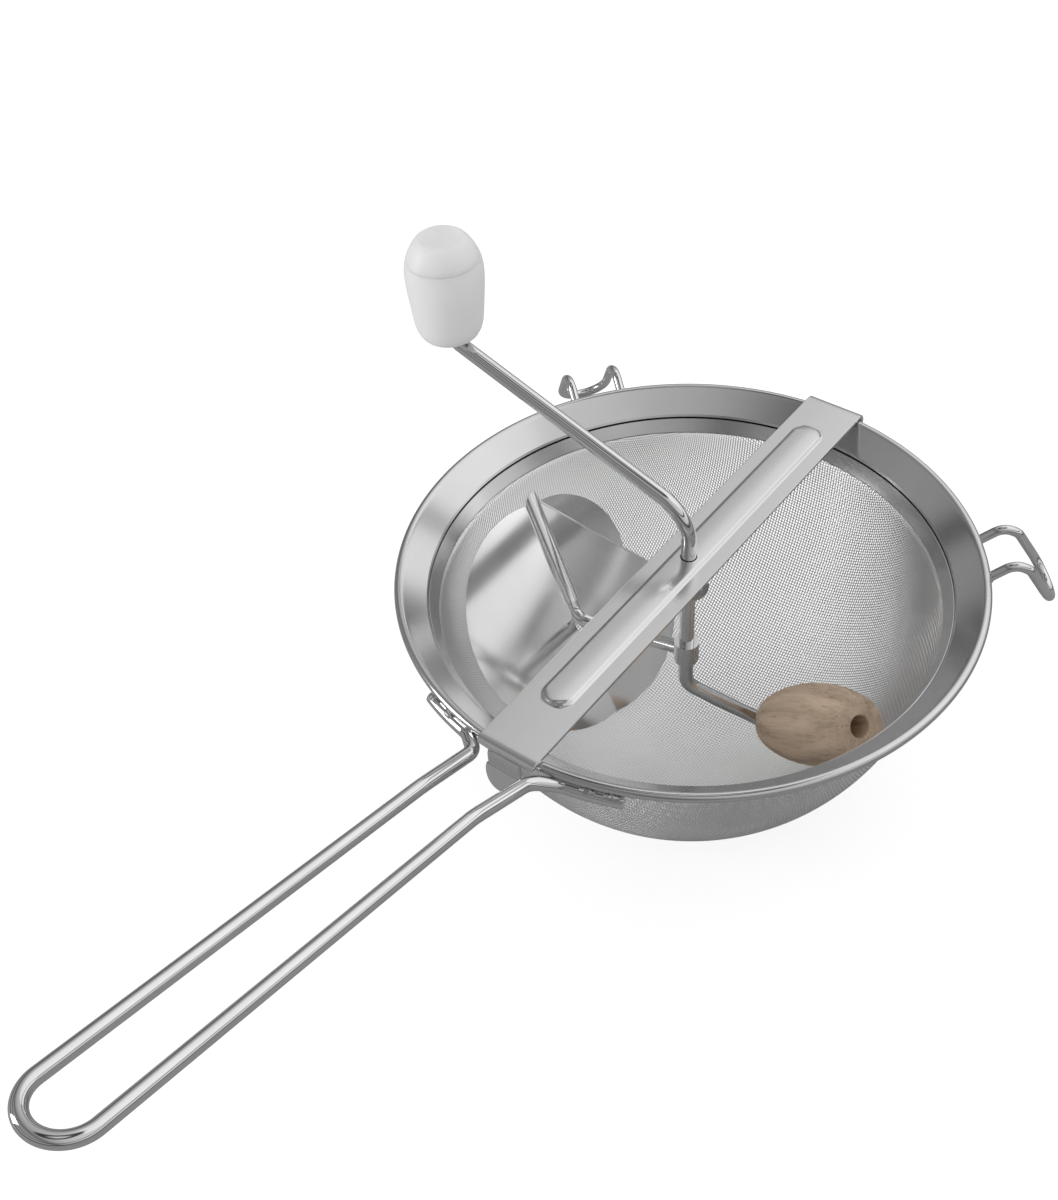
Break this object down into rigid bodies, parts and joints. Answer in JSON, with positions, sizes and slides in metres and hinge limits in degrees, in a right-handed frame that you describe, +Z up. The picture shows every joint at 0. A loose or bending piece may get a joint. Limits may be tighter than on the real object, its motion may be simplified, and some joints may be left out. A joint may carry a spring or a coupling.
{
  "type": "food mill",
  "caption": "Hand-cranked food mill: hemispherical mesh bowl with rolled rim, wire handle and two pot rests; a cranked wiping blade and a barrel roller press soft food through the mesh",
  "frame": {"origin": "the crank axis, in the plane of the rolled rim bead's centre line (the seat on a pot's edge)", "axes": "+Z up along the crank rod; -Y towards the handle, +Y towards the hooked end of the crossbar; -X towards the knob and the blade, +X towards the roller"},
  "size_m": [0.2246, 0.3978, 0.2014],
  "materials": {
    "band": "satin polished sheet",
    "mesh": "fine plain-woven steel wire",
    "wire": "bright polished round wire",
    "bar": "satin polished sheet",
    "small_steel": "plain steel",
    "blade": "polished sheet",
    "wood": "bare turned hardwood, lengthwise grain",
    "knob": "milky translucent plastic, smooth"
  },
  "bodies": {
    "sieve": {"rim_band": "band", "mesh_clamp_ring": "band", "mesh_bowl": "mesh", "handle_loop": "wire", "rest_hook_left": "wire", "rest_hook_right": "wire"},
    "crossbar": {"crossbar": "bar", "upper_washer": "small_steel"},
    "thrust": {"thrust_washer": "small_steel", "compression_spring": "small_steel"},
    "crank": {"crank_rod": "wire", "blade_arm": "wire", "blade": "blade", "knob_push_nut": "small_steel"},
    "roller": {"roller": "wood"},
    "knob": {"knob_grip": "knob", "knob_cap": "knob"}
  },
  "joints": [
    {"name": "crossbar_tilt", "type": "hinge", "parent": "sieve", "child": "crossbar", "pos_m": [0, 0.10325, 0], "axis": [-1, 0, 0], "range_deg": [0, 30]},
    {"name": "crank_float", "type": "slide", "parent": "crossbar", "child": "thrust", "axis": [0, 0, 1], "range_m": [0, 0.0032], "stiffness_N_per_m": 1500, "springref_m": -0.006, "deforming": ["compression_spring"]},
    {"name": "crank_turn", "type": "hinge", "parent": "thrust", "child": "crank", "pos_m": [0, 0, 0], "axis": [0, 0, 1], "continuous": true},
    {"name": "roller_spin", "type": "hinge", "parent": "crank", "child": "roller", "pos_m": [0.05135, 0.0106, -0.0625], "axis": [0.755, -0.1847, 0.6292], "continuous": true},
    {"name": "knob_spin", "type": "hinge", "parent": "crank", "child": "knob", "pos_m": [-0.1023, 0, 0.08], "axis": [0, 0, 1], "continuous": true}
  ],
  "couplings": [
    {"joint": "roller_spin", "follows": "crank_turn", "ratio": -3.85}
  ]
}
